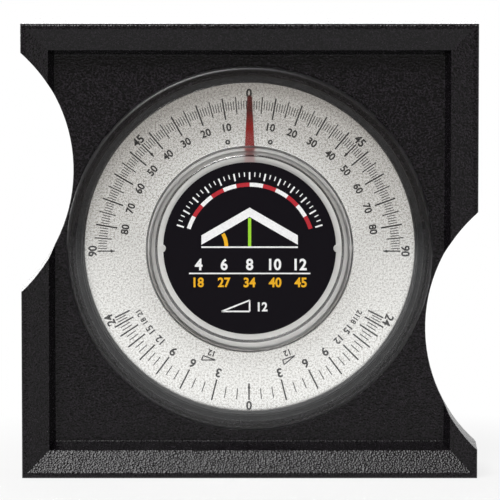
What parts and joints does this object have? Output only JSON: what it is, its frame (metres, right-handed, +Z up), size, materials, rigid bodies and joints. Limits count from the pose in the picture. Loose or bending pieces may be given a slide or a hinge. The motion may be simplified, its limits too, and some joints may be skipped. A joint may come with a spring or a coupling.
{
  "type": "inclinometer",
  "caption": "Square dial inclinometer: free-swinging weighted needle over a degree and roof pitch card, in a black frame with flat edges and two side notches.",
  "frame": {"origin": "on the ground below the middle of the frame, midway between its front and rear lands", "axes": "+Z up with the tool standing on its lower rail, -Y the way the dial faces, +X to the reader's right"},
  "size_m": [0.146, 0.0254, 0.1461],
  "materials": {
    "frame_plastic": "fine moulded grain",
    "housing_plastic": "satin moulded",
    "ring_plastic": "satin moulded",
    "clear_cover": "clear polished acrylic",
    "label_black": "printed film",
    "card_silver": "satin silver with black print",
    "screw_steel": "zinc plated",
    "bearing_brass": "turned",
    "hub_brass": "turned",
    "arbor_steel": "ground",
    "washer_plastic": "smooth white",
    "needle_red": "translucent red moulding",
    "carrier_steel": "pressed sheet",
    "weight_zinc": "die cast zinc",
    "rivet_aluminium": "set rivet"
  },
  "bodies": {
    "frame": {"front_frame": "frame_plastic", "rear_frame": "frame_plastic", "frame_screws": "screw_steel", "lens": "clear_cover", "hub_label": "label_black", "card_ring": "ring_plastic", "dial_card": "card_silver", "dial_housing": "housing_plastic", "front_bearing": "bearing_brass", "rear_bearing": "bearing_brass"},
    "pendulum": {"arbor": "arbor_steel", "front_washer": "washer_plastic", "rear_washer": "washer_plastic", "needle": "needle_red", "needle_hub": "hub_brass", "weight_carrier": "carrier_steel", "pendulum_weight": "weight_zinc", "weight_rivets": "rivet_aluminium", "carrier_hub": "hub_brass"}
  },
  "joints": [
    {"name": "needle_swing", "type": "hinge", "parent": "frame", "child": "pendulum", "pos_m": [0, 0, 0.07303], "axis": [0, 1, 0], "continuous": true}
  ]
}
